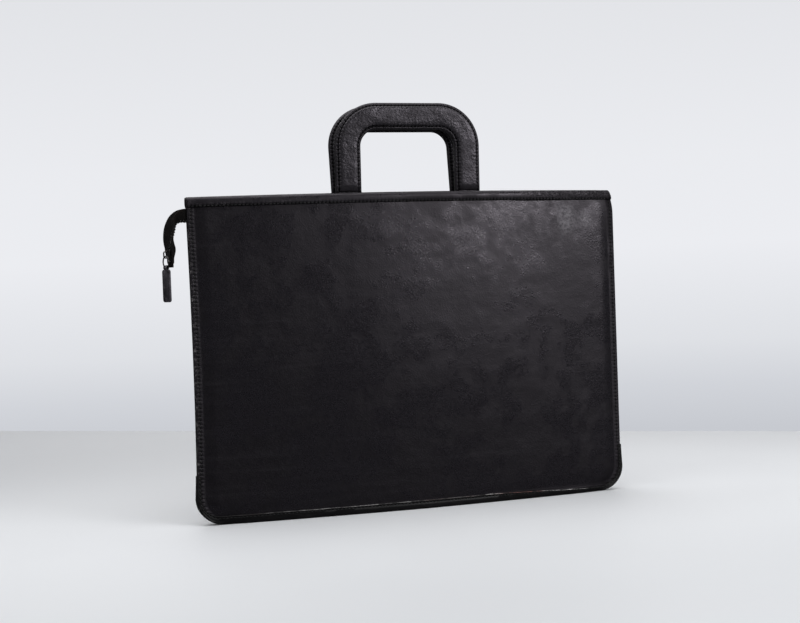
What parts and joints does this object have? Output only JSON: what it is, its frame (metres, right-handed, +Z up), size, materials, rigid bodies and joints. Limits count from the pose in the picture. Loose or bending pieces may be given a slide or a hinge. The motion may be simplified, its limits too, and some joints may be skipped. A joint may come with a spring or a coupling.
{
  "type": "leather document case",
  "caption": "Slim black leather document case with two padded U-shaped handles, an open zip along its mouth and the zip's tail hanging at one end, standing on its flat base.",
  "frame": {"origin": "middle of the flat base that the case stands on", "axes": "+X along the case's width, to the right as the front is seen; the front faces -Y; +Z up, towards the handles"},
  "size_m": [0.4199, 0.0358, 0.357],
  "materials": {
    "case_leather": "smooth, waxed, lightly worn",
    "strip_leather": "smooth, with a worn raw edge",
    "handle_leather": "smooth, padded and stitched, semi-gloss",
    "zip_tape": "woven twill tape",
    "zip_metal": "darkened metal, worn",
    "pull_leather": "smooth, stitched edge"
  },
  "bodies": {
    "root": {"front_panel": "case_leather", "back_panel": "case_leather", "side_gusset_left": "case_leather", "side_gusset_right": "case_leather", "base_strip": "strip_leather", "front_hem": "case_leather", "back_hem": "case_leather", "front_handle": "handle_leather", "back_handle": "handle_leather", "zip_tape_front": "zip_tape", "zip_tape_back": "zip_tape", "zip_slider": "zip_metal", "zip_ring": "zip_metal", "zip_pull": "pull_leather"}
  },
  "joints": []
}
